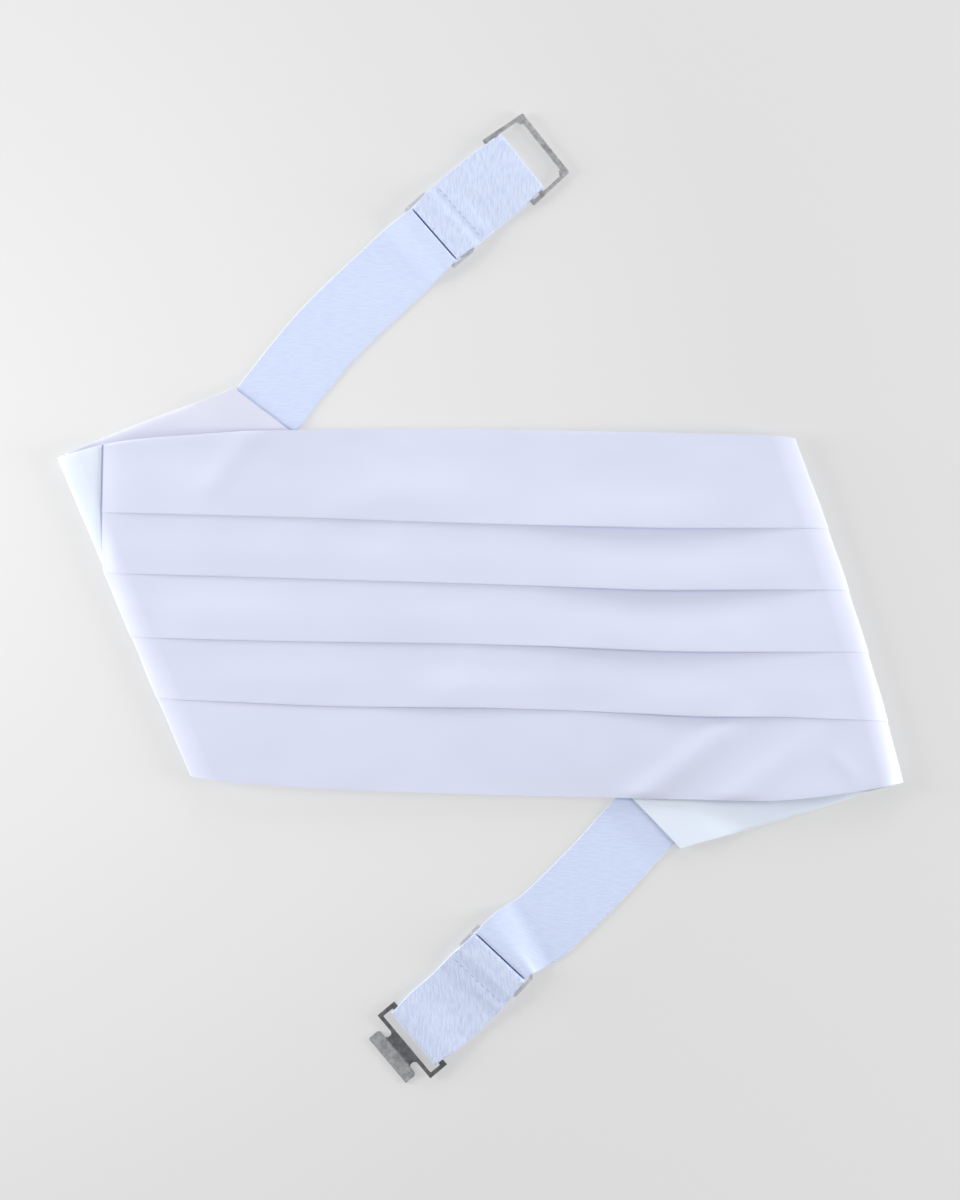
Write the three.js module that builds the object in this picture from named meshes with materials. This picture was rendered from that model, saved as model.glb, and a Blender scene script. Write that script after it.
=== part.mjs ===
// A white satin cummerbund lying flat with both tapered ends folded behind it.
// Millimetres, +Z up, front face up. The cloth is cut and pleated flat, then laid round two slanting folds.
// Flat sheets use u along the band, v across it and n out of its face. Straps use p along, q across.
import * as THREE from 'three';
import { mergeVertices } from 'three/addons/utils/BufferGeometryUtils.js';

// Cloth
const FRONT_HEIGHT = 127;
const FRONT_LENGTH = 282;
const BODY_LENGTH = 442;
const CLOTH = 1.0;
const GAP = 0.3;
const LIP_DEPTH = 4;
const LIP_SLOT = 0.3;
const LIP_RISE = 11;
const FOLD_RADIUS = 2.6;
const SEAM_TUCK = 10;
const STRAP_TUCK = 10;
const LEVEL_RAMP = 14;
const SAG = 5;
const SAG_REACH = 145;
const ROUND_STEPS = 9;
const INNER_COLUMNS = 8;
const INNER_SPREAD = 0.85;
// Where the sheets bend as they sag between the folds, as shares of the sag's reach
const INSIDE_SHARES = [0.69, 0.52, 0.36, 0.23, 0.12, 0.05];

// End folds: how far out the fold line crosses the middle of the band, how it leans and how it bows out
const LEFT_FOLD = { side: -1, out: 131.6, lean: 24.26, bow: 0 };
const RIGHT_FOLD = { side: 1, out: 117.1, lean: 18.54, bow: 2.2 };

// Elastic straps
const STRAP_WIDTH = 25.6;
const STRAP_CLOTH = 1.0;
const STRAP_NECK = 0.93;
const STRAP_NECK_LENGTH = 12;
const SEWN_TAIL = 12;
// How far to the left of the wing's middle line each strap is sewn, looking along the strap
const LOOP_SEWN_OFF = 0.4;
const HOOK_SEWN_OFF = -1.7;
// Along each strap: where it dips under the wing's edge, climbs over the slider and comes back to it
const SETTLE = 10;
const CLIMB = 12;
const CREST = 4.4;
const OVER_BAR = 6;
const BACK_DOWN = 14;
const PAST_TAIL = [1, 4, 6];
const PAST_SLIDER = [0.6, 3];
const LOOP_SLIDER_AT = 85.5;
const LOOP_END_AT = 125.4;
const HOOK_SLIDER_AT = 71.6;
const HOOK_END_AT = 113.4;
// Radii of the route's bends: round a bar, in a slack run, over a crest, over a tail, at a slider's edge
const TURN = 0.9;
const EASE = 2.5;
const CREST_BEND = 1.5;
const TAIL_BEND = 1;
const EDGE_BEND = 0.8;
const SEWN_BEND = 0.4;

// Metal
const BAR = 1.4;
const PLATE = 1.2;
const SLIDER_RAIL = 1.2;
const SLIDER_SLOT = 2.9;
const LOOP_BACK = 6.9;
const LOOP_REACH = 10.1;
const LOOP_FAR_BAR = 2.2;
const LOOP_FAR_WIDTH = 26.4;
const LOOP_NEAR_WIDTH = 29;
const LOOP_BOSS = 1.5;
const HOOK_BACK = 3.3;
const HOOK_REACH = 4.3;
const HOOK_WIDTH = 28.6;
const ARM = 1.5;
const HOOK_NECK_WIDTH = 12.3;
const HOOK_NECK = 2.9;
const HOOK_HEAD = 4.8;
const HOOK_HEAD_WIDTH = 20.3;
const HOOK_DROP = 1.2;

// Share of the front's height that each panel shows, from the top one down
const PANEL_SHARES = [0.25, 0.172, 0.167, 0.176, 0.235];

// The taper of each end: how far out along half the body, and half height as a share of the front's half
const TAPER = {
  [LEFT_FOLD.side]: [
    { out: 0, half: 1 },
    { out: 0.23, half: 0.988 },
    { out: 0.416, half: 0.962 },
    { out: 0.561, half: 0.914 },
    { out: 0.634, half: 0.876 },
    { out: 0.71, half: 0.79 },
    { out: 0.785, half: 0.65 },
    { out: 0.87, half: 0.48 },
    { out: 0.95, half: 0.305 },
    { out: 1, half: 0.2 },
  ],
  [RIGHT_FOLD.side]: [
    { out: 0, half: 1 },
    { out: 0.43, half: 1 },
    { out: 0.507, half: 0.967 },
    { out: 0.606, half: 0.905 },
    { out: 0.66, half: 0.85 },
    { out: 0.73, half: 0.745 },
    { out: 0.8, half: 0.605 },
    { out: 0.86, half: 0.49 },
    { out: 0.93, half: 0.345 },
    { out: 1, half: 0.2 },
  ],
};
// Where each wing's middle starts to drift off the band's middle line, and how far it drifts by its tip
const DRIFT_START = 0.7;
const DRIFT = { [LEFT_FOLD.side]: 0.1, [RIGHT_FOLD.side]: -0.228 };

// Plan curve of each strap from its seam outwards: share of the strap's length and turn in degrees
const LOOP_STRAP_CURVE = [
  { share: 0.064, turn: 0 },
  { share: 0.191, turn: -4 },
  { share: 0.048, turn: -3.5 },
  { share: 0.159, turn: -3 },
  { share: 0.064, turn: 1.4 },
  { share: 0.112, turn: -2.6 },
  { share: 0.128, turn: 0 },
  { share: 0.128, turn: -2.6 },
  { share: 0.106, turn: 0 },
];
const HOOK_STRAP_CURVE = [
  { share: 0.079, turn: 0 },
  { share: 0.053, turn: 2 },
  { share: 0.15, turn: -3.5 },
  { share: 0.159, turn: -2.3 },
  { share: 0.062, turn: -13.5 },
  { share: 0.05, turn: -1.2 },
  { share: 0.053, turn: 18.5 },
  { share: 0.171, turn: 0 },
  { share: 0.079, turn: -6.8 },
  { share: 0.144, turn: 0 },
];
// The most that one facet of a strap turns in plan, in degrees
const FACET_TURN = 3;

const SATIN_WHITE = 0xe2e6f6;
const LINING_WHITE = 0xe1e6f5;
const ELASTIC_WHITE = 0xd7e2fb;
const SLIDER_SILVER = 0xc9ccd2;
const AGED_NICKEL = 0x8b8c8f;

const halfHeight = FRONT_HEIGHT / 2;
const halfBody = BODY_LENGTH / 2;
const halfFront = FRONT_LENGTH / 2;
const lipTop = 2 * CLOTH + LIP_SLOT;
const axisHeight = FOLD_RADIUS + lipTop;
const foldArc = Math.PI * FOLD_RADIUS;
const folds = [LEFT_FOLD, RIGHT_FOLD];

const clamp01 = (value) => Math.min(1, Math.max(0, value));
const smooth = (value) => {
  const t = clamp01(value);
  return t * t * (3 - 2 * t);
};

function interpolate(rows, key, value, at) {
  const next = rows.findIndex((row) => row[key] >= at);
  if (next < 0) return rows[rows.length - 1][value];
  if (next === 0) return rows[0][value];
  const [low, high] = [rows[next - 1], rows[next]];
  return low[value] + ((at - low[key]) / (high[key] - low[key])) * (high[value] - low[value]);
}

const taperHalf = (side, out) => halfHeight * interpolate(TAPER[side], 'out', 'half', out / halfBody);
const driftAt = (side, out) => {
  const share = Math.max(0, (out / halfBody - DRIFT_START) / (1 - DRIFT_START));
  return DRIFT[side] * halfHeight * share;
};

// Mesh helpers

// Cuts every triangle that crosses a plane where distance(point) equals the mark, so the mesh can bend there
function score(geometry, distance, marks) {
  const source = geometry.index ? geometry : mergeVertices(geometry, 1e-4);
  const points = [];
  const position = source.attributes.position;
  for (let i = 0; i < position.count; i += 1) points.push(new THREE.Vector3().fromBufferAttribute(position, i));
  let triangles = [];
  for (let i = 0; i < source.index.count; i += 3) triangles.push([0, 1, 2].map((k) => source.index.getX(i + k)));
  for (const mark of marks) {
    const level = points.map((point) => {
      const gap = distance(point) - mark;
      return Math.abs(gap) < 1e-3 ? 0 : gap;
    });
    const cuts = new Map();
    const cut = (a, b) => {
      const key = a < b ? `${a}_${b}` : `${b}_${a}`;
      if (!cuts.has(key)) {
        cuts.set(key, points.length);
        points.push(points[a].clone().lerp(points[b], level[a] / (level[a] - level[b])));
      }
      return cuts.get(key);
    };
    triangles = triangles.flatMap((triangle) => {
      const signs = triangle.map((index) => Math.sign(level[index]));
      if (!(signs.includes(1) && signs.includes(-1))) return [triangle];
      const sides = { [-1]: [], 1: [] };
      triangle.forEach((index, k) => {
        const following = triangle[(k + 1) % 3];
        if (signs[k] === 0) {
          sides[1].push(index);
          sides[-1].push(index);
          return;
        }
        sides[signs[k]].push(index);
        if (signs[k] * Math.sign(level[following]) < 0) {
          const middle = cut(index, following);
          sides[1].push(middle);
          sides[-1].push(middle);
        }
      });
      return [sides[1], sides[-1]].flatMap((loop) => (
        loop.slice(2).map((last, k) => [loop[0], loop[k + 1], last])
      ));
    });
  }
  const geometryOut = new THREE.BufferGeometry();
  geometryOut.setAttribute('position', new THREE.Float32BufferAttribute(points.flatMap((p) => p.toArray()), 3));
  geometryOut.setIndex(triangles.flat());
  return geometryOut;
}

function mapped(geometry, place) {
  const position = geometry.attributes.position;
  for (let i = 0; i < position.count; i += 1) {
    const [x, y, z] = place(position.getX(i), position.getY(i), position.getZ(i));
    position.setXYZ(i, x, y, z);
  }
  geometry.computeVertexNormals();
  return geometry;
}

function named(name, geometry, color, roughness, metalness) {
  const mesh = new THREE.Mesh(geometry, new THREE.MeshStandardMaterial({ color, roughness, metalness }));
  mesh.name = name;
  return mesh;
}

// Laying the flat cloth round the two folds

const leanOf = (fold) => THREE.MathUtils.degToRad(fold.lean);

function alongNormal(fold, u, v) {
  const lean = leanOf(fold);
  return fold.side * (u * Math.cos(lean) + v * Math.sin(lean)) - fold.out * Math.cos(lean);
}

function pastFold(fold, u, v) {
  const lean = leanOf(fold);
  const alongAxis = v * Math.cos(lean) - (u - fold.side * fold.out) * Math.sin(lean);
  const share = (alongAxis * Math.cos(lean)) / halfHeight;
  return alongNormal(fold, u, v) - fold.bow * Math.max(0, 1 - share * share);
}

function layCloth(u, v, n) {
  const fold = u < 0 ? LEFT_FOLD : RIGHT_FOLD;
  const past = pastFold(fold, u, v);
  if (past <= 0) {
    const inside = -Math.max(...folds.map((each) => pastFold(each, u, v)));
    return [u, v, axisHeight + FOLD_RADIUS + n - SAG * smooth(inside / SAG_REACH)];
  }
  const lean = leanOf(fold);
  const radius = FOLD_RADIUS + n;
  const turned = Math.min(past / FOLD_RADIUS, Math.PI);
  const outward = past < foldArc ? radius * Math.sin(turned) : foldArc - past;
  const shift = fold.side * (outward - past);
  return [u + shift * Math.cos(lean), v + shift * Math.sin(lean), axisHeight + radius * Math.cos(turned)];
}

// Height of a wing's outer face in the stack: tucked below the front at the seam, on the floor farther on
function wingLevel(fold, u, v) {
  const beyondSeam = fold.side * u - halfFront;
  const beyondFold = alongNormal(fold, u, v) - foldArc;
  return -GAP + (lipTop + GAP) * smooth(Math.min(beyondSeam, beyondFold) / LEVEL_RAMP);
}

const steps = (from, to, count) => Array.from({ length: count + 1 }, (_, k) => from + ((to - from) * k) / count);

// Lines across the flat cloth: each gives how far out it runs at a height v, and never turns back
const foldLine = (fold, past) => (v) => (
  fold.out + (past - fold.side * v * Math.sin(leanOf(fold))) / Math.cos(leanOf(fold))
);
const between = (line, from, to) => (v) => Math.min(to(v), Math.max(from, line(v)));
const later = (line, out) => (v) => Math.max(line(v), out);
const insideLines = (fold) => INSIDE_SHARES.map((share) => foldLine(fold, -share * SAG_REACH));
const roundLines = (fold) => steps(0, foldArc + fold.bow, ROUND_STEPS).map((past) => foldLine(fold, past));

// Builds a closed sheet from lines across it and a closed ring of columns along it
function sheet(lines, columns, side) {
  const ring = columns.length;
  const points = lines.flatMap((line) => columns.map(({ v, n }) => {
    let out = line(0);
    for (let k = 0; k < 30; k += 1) out = line(v(out));
    return new THREE.Vector3(side * out, v(out), n);
  }));
  const at = (k, j) => k * ring + (j % ring);
  const faces = [];
  for (let k = 0; k + 1 < lines.length; k += 1) {
    for (let j = 0; j < ring; j += 1) {
      faces.push([at(k, j), at(k, j + 1), at(k + 1, j + 1)], [at(k, j), at(k + 1, j + 1), at(k + 1, j)]);
    }
  }
  const cap = (k) => {
    const section = columns.map((_, j) => new THREE.Vector2(points[at(k, j)].y, points[at(k, j)].z));
    return THREE.ShapeUtils.triangulateShape(section, []).map((face) => face.map((j) => at(k, j)));
  };
  cap(0).forEach(([a, b, c]) => faces.push([a, c, b]));
  faces.push(...cap(lines.length - 1));
  const geometry = new THREE.BufferGeometry().setFromPoints(points);
  geometry.setIndex(faces.flatMap(([a, b, c]) => (side > 0 ? [a, b, c] : [a, c, b])));
  return withoutSlivers(geometry);
}

// Lines that run together leave triangles with no area, which go
function withoutSlivers(geometry) {
  const merged = mergeVertices(geometry, 1e-3);
  const kept = [];
  for (let i = 0; i < merged.index.count; i += 3) {
    const corners = [0, 1, 2].map((k) => merged.index.getX(i + k));
    if (new Set(corners).size === 3) kept.push(...corners);
  }
  merged.setIndex(kept);
  return merged;
}

// The pleated front: a ring of columns through its four lips, the same for every line across it

function pleatSection(side) {
  const nose = CLOTH / 2;
  const edgeOf = (sign) => (out) => sign * taperHalf(side, out);
  const fixed = (v, n) => ({ v: () => v, n });
  const outer = [{ v: edgeOf(1), n: 0 }, { v: edgeOf(1), n: CLOTH }];
  let edge = halfHeight;
  PANEL_SHARES.slice(0, -1).forEach((share) => {
    edge -= share * FRONT_HEIGHT;
    outer.push(
      fixed(edge + LIP_RISE, CLOTH),
      fixed(edge + LIP_DEPTH, lipTop - CLOTH / 4),
      fixed(edge + nose, lipTop),
      fixed(edge, lipTop - nose),
      fixed(edge + nose, lipTop - CLOTH),
      fixed(edge + LIP_DEPTH, CLOTH + LIP_SLOT),
      fixed(edge + LIP_DEPTH, CLOTH),
    );
  });
  const inner = steps(-1, 1, INNER_COLUMNS).slice(1, -1).map((share) => fixed(share * halfHeight, 0));
  outer.push({ v: edgeOf(-1), n: CLOTH }, { v: edgeOf(-1), n: 0 });
  return [...outer, ...inner.filter((column) => Math.abs(column.v()) < INNER_SPREAD * halfHeight)];
}

function halfFrontLines(fold) {
  const seam = () => halfFront;
  return [...insideLines(fold), ...roundLines(fold), seam].map((line) => between(line, -halfFront, seam));
}

function pleatedFront() {
  const mirrored = (line) => (v) => -line(v);
  const lines = [
    ...halfFrontLines(LEFT_FOLD).reverse().map(mirrored),
    ...halfFrontLines(RIGHT_FOLD),
  ];
  const left = pleatSection(LEFT_FOLD.side);
  const right = pleatSection(RIGHT_FOLD.side);
  const columns = right.map((column, k) => ({
    n: column.n,
    v: (out) => (out < 0 ? left[k].v(-out) : column.v(out)),
  }));
  return mapped(sheet(lines, columns, 1), layCloth);
}

// The wings and the lining that shows on them

// Columns across a tapered wing, there along its outer face and back along its inner face
function wingColumns(side) {
  const across = steps(-1, 1, 8);
  const place = (share) => (out) => driftAt(side, out) + share * taperHalf(side, out);
  const outer = [...across].reverse().map((share) => ({ v: place(share), n: 0 }));
  const inner = across.map((share) => ({ v: place(share), n: -CLOTH }));
  return [...outer, ...inner];
}

// A wing ends square to its own middle line
function tipLine(fold) {
  const slope = (DRIFT[fold.side] * halfHeight) / ((1 - DRIFT_START) * halfBody);
  return (v) => halfBody - slope * (v - driftAt(fold.side, halfBody));
}

function rampLines(fold) {
  return steps(0, LEVEL_RAMP, 4).map((run) => later(foldLine(fold, foldArc + run), halfFront + run));
}

function taperLines(fold) {
  const rows = TAPER[fold.side].map((row) => row.out * halfBody).filter((out) => out > halfFront);
  return rows.map((out) => later(foldLine(fold, foldArc + LEVEL_RAMP), Math.max(out, halfFront + LEVEL_RAMP)));
}

function wing(fold) {
  const start = halfFront - SEAM_TUCK;
  const across = [...insideLines(fold), ...roundLines(fold), ...rampLines(fold), ...taperLines(fold)];
  const lines = [() => start, ...across, tipLine(fold)].map((line) => between(line, start, tipLine(fold)));
  const flat = sheet(lines, wingColumns(fold.side), fold.side);
  return mapped(flat, (u, v, n) => layCloth(u, v, n + wingLevel(fold, u, v)));
}

// The lining lies on the wing's inner side and rises over the sewn end of the strap
function lining(fold) {
  const rise = STRAP_CLOTH + GAP;
  const tip = tipLine(fold);
  const beforeTip = (distance) => (v) => tip(v) - distance;
  const riseStart = beforeTip(2 * STRAP_TUCK);
  const riseEnd = beforeTip(STRAP_TUCK);
  const first = later(foldLine(fold, foldArc + fold.bow + GAP), halfFront + GAP);
  const level = [...rampLines(fold).slice(1), ...taperLines(fold)];
  const lines = [
    ...[first, ...level].map((line) => between(line, 0, riseStart)),
    riseStart,
    ...level.map((line) => between((v) => Math.max(riseStart(v), line(v)), 0, riseEnd)),
    riseEnd,
    tip,
  ];
  const flat = sheet(lines, wingColumns(fold.side), fold.side);
  return mapped(flat, (u, v, n) => {
    const lift = rise * clamp01((fold.side * u - riseStart(v)) / STRAP_TUCK);
    return layCloth(u, v, n + wingLevel(fold, u, v) - CLOTH - GAP - lift);
  });
}

// Straps

// Heights of the strap's middle line: on the floor, sewn under the slider, and over the slider's bars
const onFloor = STRAP_CLOTH / 2;
const secondLayer = onFloor + STRAP_CLOTH + GAP;
const sliderHeight = secondLayer + STRAP_CLOTH / 2 + GAP;
const overSlider = sliderHeight + PLATE + GAP + STRAP_CLOTH / 2;
const hardwareHeight = STRAP_CLOTH + GAP;
const overHardware = hardwareHeight + PLATE + GAP + STRAP_CLOTH / 2;
const beside = GAP + STRAP_CLOTH / 2;

function curveState(curve, length, start, at) {
  let { x, y, heading } = start;
  let left = at;
  if (at <= 0) return { x: x + at * Math.cos(heading), y: y + at * Math.sin(heading), heading };
  for (const row of curve) {
    const full = row.share * length;
    const run = Math.min(left, full);
    const turn = THREE.MathUtils.degToRad(row.turn) * (run / full);
    const chord = Math.abs(turn) < 1e-9 ? run : (2 * run * Math.sin(turn / 2)) / turn;
    x += chord * Math.cos(heading + turn / 2);
    y += chord * Math.sin(heading + turn / 2);
    heading += turn;
    left -= run;
    if (left <= 0) break;
  }
  return { x, y, heading };
}

// Rounds each corner of the middle line with a short arc of three chords
function rounded(route) {
  return route.flatMap((corner, k) => {
    if (!corner.r || k === 0 || k === route.length - 1) return [new THREE.Vector2(corner.at, corner.z)];
    const here = new THREE.Vector2(corner.at, corner.z);
    const before = new THREE.Vector2(route[k - 1].at, route[k - 1].z).sub(here).setLength(corner.r).add(here);
    const after = new THREE.Vector2(route[k + 1].at, route[k + 1].z).sub(here).setLength(corner.r).add(here);
    return new THREE.QuadraticBezierCurve(before, here, after).getPoints(3);
  });
}

function ribbonOutline(line, thickness) {
  const offset = (side) => line.map((point, k) => {
    const before = line[Math.max(k - 1, 0)];
    const after = line[Math.min(k + 1, line.length - 1)];
    const into = k > 0 ? point.clone().sub(before).normalize() : after.clone().sub(point).normalize();
    const out = k < line.length - 1 ? after.clone().sub(point).normalize() : into.clone();
    const tangent = into.clone().add(out).normalize();
    const reach = (side * thickness) / 2 / Math.max(0.5, tangent.dot(into));
    return [point.x - tangent.y * reach, point.y + tangent.x * reach];
  });
  return [...offset(-1), ...offset(1).reverse()];
}

// One elastic: over the slider's first bar, below to the hardware, round its bar, back and round the middle bar
function strapRoute(sliderAt, endAt) {
  const diveAt = sliderAt - beside;
  const loopAt = diveAt + STRAP_CLOTH + GAP;
  const hardwareAt = endAt - STRAP_CLOTH / 2;
  const sliderEnd = loopAt + beside + BAR + SLIDER_SLOT + BAR;
  const tailEnd = loopAt + SEWN_TAIL;
  const thirdLayer = secondLayer + STRAP_CLOTH + GAP;
  return [
    { at: -STRAP_TUCK + GAP, z: secondLayer },
    { at: 2 * GAP, z: secondLayer, r: SEWN_BEND },
    { at: SETTLE, z: onFloor, r: EASE },
    { at: diveAt - CLIMB, z: onFloor, r: EASE },
    { at: diveAt - CREST, z: overSlider, r: CREST_BEND },
    { at: diveAt, z: overSlider, r: TURN },
    { at: diveAt, z: onFloor, r: TURN },
    { at: hardwareAt, z: onFloor, r: TURN },
    { at: hardwareAt, z: overHardware, r: TURN },
    { at: hardwareAt - OVER_BAR, z: overHardware, r: EASE },
    { at: Math.max(hardwareAt - BACK_DOWN, tailEnd + PAST_TAIL[2]), z: secondLayer, r: EASE },
    { at: tailEnd + PAST_TAIL[1], z: secondLayer, r: TAIL_BEND },
    { at: tailEnd + PAST_TAIL[0], z: thirdLayer, r: TAIL_BEND },
    { at: sliderEnd + PAST_SLIDER[1], z: thirdLayer, r: EDGE_BEND },
    { at: sliderEnd + PAST_SLIDER[0], z: overSlider, r: EDGE_BEND },
    { at: loopAt, z: overSlider, r: TURN },
    { at: loopAt, z: secondLayer, r: TURN },
    { at: tailEnd, z: secondLayer },
  ];
}

// Where a strap's facets meet: through each turn of its curve, and where its edges draw in
function strapMarks(curve, sliderAt, endAt) {
  let run = 0;
  const turns = curve.flatMap((row) => {
    const start = run;
    run += row.share * endAt;
    return steps(start, run, Math.max(1, Math.ceil(Math.abs(row.turn) / FACET_TURN)));
  });
  const necks = [-1, -0.5, 0.5, 1].map((share) => sliderAt + share * STRAP_NECK_LENGTH);
  const marks = [...turns, ...necks, endAt - STRAP_NECK_LENGTH].sort((a, b) => a - b);
  return marks.filter((mark, k) => mark < endAt - STRAP_CLOTH && (k === 0 || mark - marks[k - 1] > GAP));
}

// The strap draws in where it passes through the slider and round the hardware's bar
function drawnIn(p, sliderAt, endAt) {
  const atEnd = (p - endAt + STRAP_NECK_LENGTH) / STRAP_NECK_LENGTH;
  const atSlider = 1 - Math.abs(p - sliderAt) / STRAP_NECK_LENGTH;
  return 1 - (1 - STRAP_NECK) * smooth(Math.max(atEnd, atSlider));
}

function strap(start, curve, sliderAt, endAt) {
  const outline = ribbonOutline(rounded(strapRoute(sliderAt, endAt)), STRAP_CLOTH);
  const shape = new THREE.Shape(outline.map(([p, z]) => new THREE.Vector2(p, z)));
  const ribbon = new THREE.ExtrudeGeometry(shape, { depth: STRAP_WIDTH, bevelEnabled: false });
  ribbon.rotateX(Math.PI / 2).translate(0, STRAP_WIDTH / 2, 0);
  ribbon.deleteAttribute('normal');
  ribbon.deleteAttribute('uv');
  const scored = score(ribbon, (point) => point.x, strapMarks(curve, sliderAt, endAt));
  return mapped(scored, (p, q, z) => {
    const across = q * drawnIn(p, sliderAt, endAt);
    const { x, y, heading } = curveState(curve, endAt, start, p);
    return [x - across * Math.sin(heading), y + across * Math.cos(heading), z];
  });
}

// Where the strap is sewn to a wing's tip once that is folded, and which way it then points
function strapStart(fold, sewnOff) {
  const [x, y] = layCloth(fold.side * halfBody, driftAt(fold.side, halfBody), lipTop);
  const [x0, y0] = layCloth(fold.side * (halfBody - 1), driftAt(fold.side, halfBody - 1), lipTop);
  const heading = Math.atan2(y - y0, x - x0);
  return { x: x - sewnOff * Math.sin(heading), y: y + sewnOff * Math.cos(heading), heading };
}

// Metal

function frameShape(outline, holes) {
  const shape = new THREE.Shape(outline.map(([x, y]) => new THREE.Vector2(x, y)));
  holes.forEach((hole) => shape.holes.push(new THREE.Path(hole.map(([x, y]) => new THREE.Vector2(x, y)))));
  return shape;
}

function trapezoid(x0, x1, width0, width1) {
  return [[x0, -width0 / 2], [x1, -width1 / 2], [x1, width1 / 2], [x0, width0 / 2]];
}

function chamfered(x0, x1, width0, width1, cut) {
  return [
    [x0 + cut, -width0 / 2], [x1 - cut, -width1 / 2], [x1, -width1 / 2 + cut], [x1, width1 / 2 - cut],
    [x1 - cut, width1 / 2], [x0 + cut, width0 / 2], [x0, width0 / 2 - cut], [x0, -width0 / 2 + cut],
  ];
}

const plateOf = (shape) => new THREE.ExtrudeGeometry(shape, { depth: PLATE, bevelEnabled: false });

// Three bars: the strap passes over the first and is sewn round the second
function sliderPlate() {
  const firstEdge = -beside - beside - BAR;
  const slotOne = [firstEdge + BAR, -beside + STRAP_CLOTH + GAP + beside];
  const slotTwo = [slotOne[1] + BAR, slotOne[1] + BAR + SLIDER_SLOT];
  const lastEdge = slotTwo[1] + BAR;
  const inner = STRAP_WIDTH * STRAP_NECK + 3 * GAP;
  const outer = inner + 2 * SLIDER_RAIL;
  const holes = [
    trapezoid(slotOne[0], slotOne[1], inner, inner),
    trapezoid(slotTwo[0], slotTwo[1], inner - GAP, inner - GAP),
  ];
  return plateOf(frameShape(chamfered(firstEdge, lastEdge, outer, outer, ARM / 2), holes));
}

// The bar that the strap turns round lies just inside the strap's end
const wrapBar = [-2 * beside - BAR + GAP, -2 * beside + GAP];

function loopPlate() {
  const width = (x) => LOOP_NEAR_WIDTH
    + ((x + LOOP_BACK) / (LOOP_BACK + LOOP_REACH)) * (LOOP_FAR_WIDTH - LOOP_NEAR_WIDTH);
  const inner = (x) => width(x) - 2 * ARM;
  const hole = (x0, x1) => trapezoid(x0, x1, inner(x0), inner(x1));
  const farEdge = LOOP_REACH - LOOP_FAR_BAR;
  const slot = [
    [wrapBar[1], -inner(wrapBar[1]) / 2],
    [farEdge - LOOP_BOSS, -inner(farEdge - LOOP_BOSS) / 2],
    [farEdge - LOOP_BOSS / 2, -inner(farEdge) / 2 + LOOP_BOSS],
    [farEdge, -inner(farEdge) / 2 + LOOP_BOSS],
    [farEdge, inner(farEdge) / 2 - LOOP_BOSS],
    [farEdge - LOOP_BOSS / 2, inner(farEdge) / 2 - LOOP_BOSS],
    [farEdge - LOOP_BOSS, inner(farEdge - LOOP_BOSS) / 2],
    [wrapBar[1], inner(wrapBar[1]) / 2],
  ];
  const outline = chamfered(-LOOP_BACK, LOOP_REACH, LOOP_NEAR_WIDTH, LOOP_FAR_WIDTH, GAP);
  return plateOf(frameShape(outline, [hole(-LOOP_BACK + BAR, wrapBar[0]), slot]));
}

// A base frame with a flat T that steps down to the floor past its neck
function hookPlate() {
  const neck = HOOK_NECK_WIDTH / 2;
  const head = HOOK_HEAD_WIDTH / 2;
  const half = HOOK_WIDTH / 2;
  const headStart = HOOK_REACH + HOOK_NECK;
  const headEnd = headStart + HOOK_HEAD;
  const fillet = HOOK_NECK / 4;
  const side = [
    [HOOK_REACH, half], [HOOK_REACH, neck + fillet], [HOOK_REACH + fillet, neck],
    [headStart - fillet, neck], [headStart, neck + fillet], [headStart, head - fillet],
    [headStart + fillet, head], [headEnd, head],
  ];
  const mirrored = side.map(([x, y]) => [x, -y]);
  const outline = [[-HOOK_BACK, -half], ...mirrored, ...[...side].reverse(), [-HOOK_BACK, half]];
  const inner = HOOK_WIDTH - 2 * ARM;
  const slot = trapezoid(wrapBar[1], HOOK_REACH - BAR, inner, inner);
  const flat = plateOf(frameShape(outline, [slot]));
  flat.deleteAttribute('normal');
  flat.deleteAttribute('uv');
  const scored = score(flat, (point) => point.x, steps(HOOK_REACH, headStart, 4));
  return mapped(scored, (x, y, z) => [x, y, z - HOOK_DROP * smooth((x - HOOK_REACH) / HOOK_NECK)]);
}

function seated(mesh, start, curve, endAt, at, height) {
  const { x, y, heading } = curveState(curve, endAt, start, at);
  mesh.position.set(x, y, height);
  mesh.rotation.z = heading;
  return mesh;
}

const loopStart = strapStart(LEFT_FOLD, LOOP_SEWN_OFF);
const hookStart = strapStart(RIGHT_FOLD, HOOK_SEWN_OFF);

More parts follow.
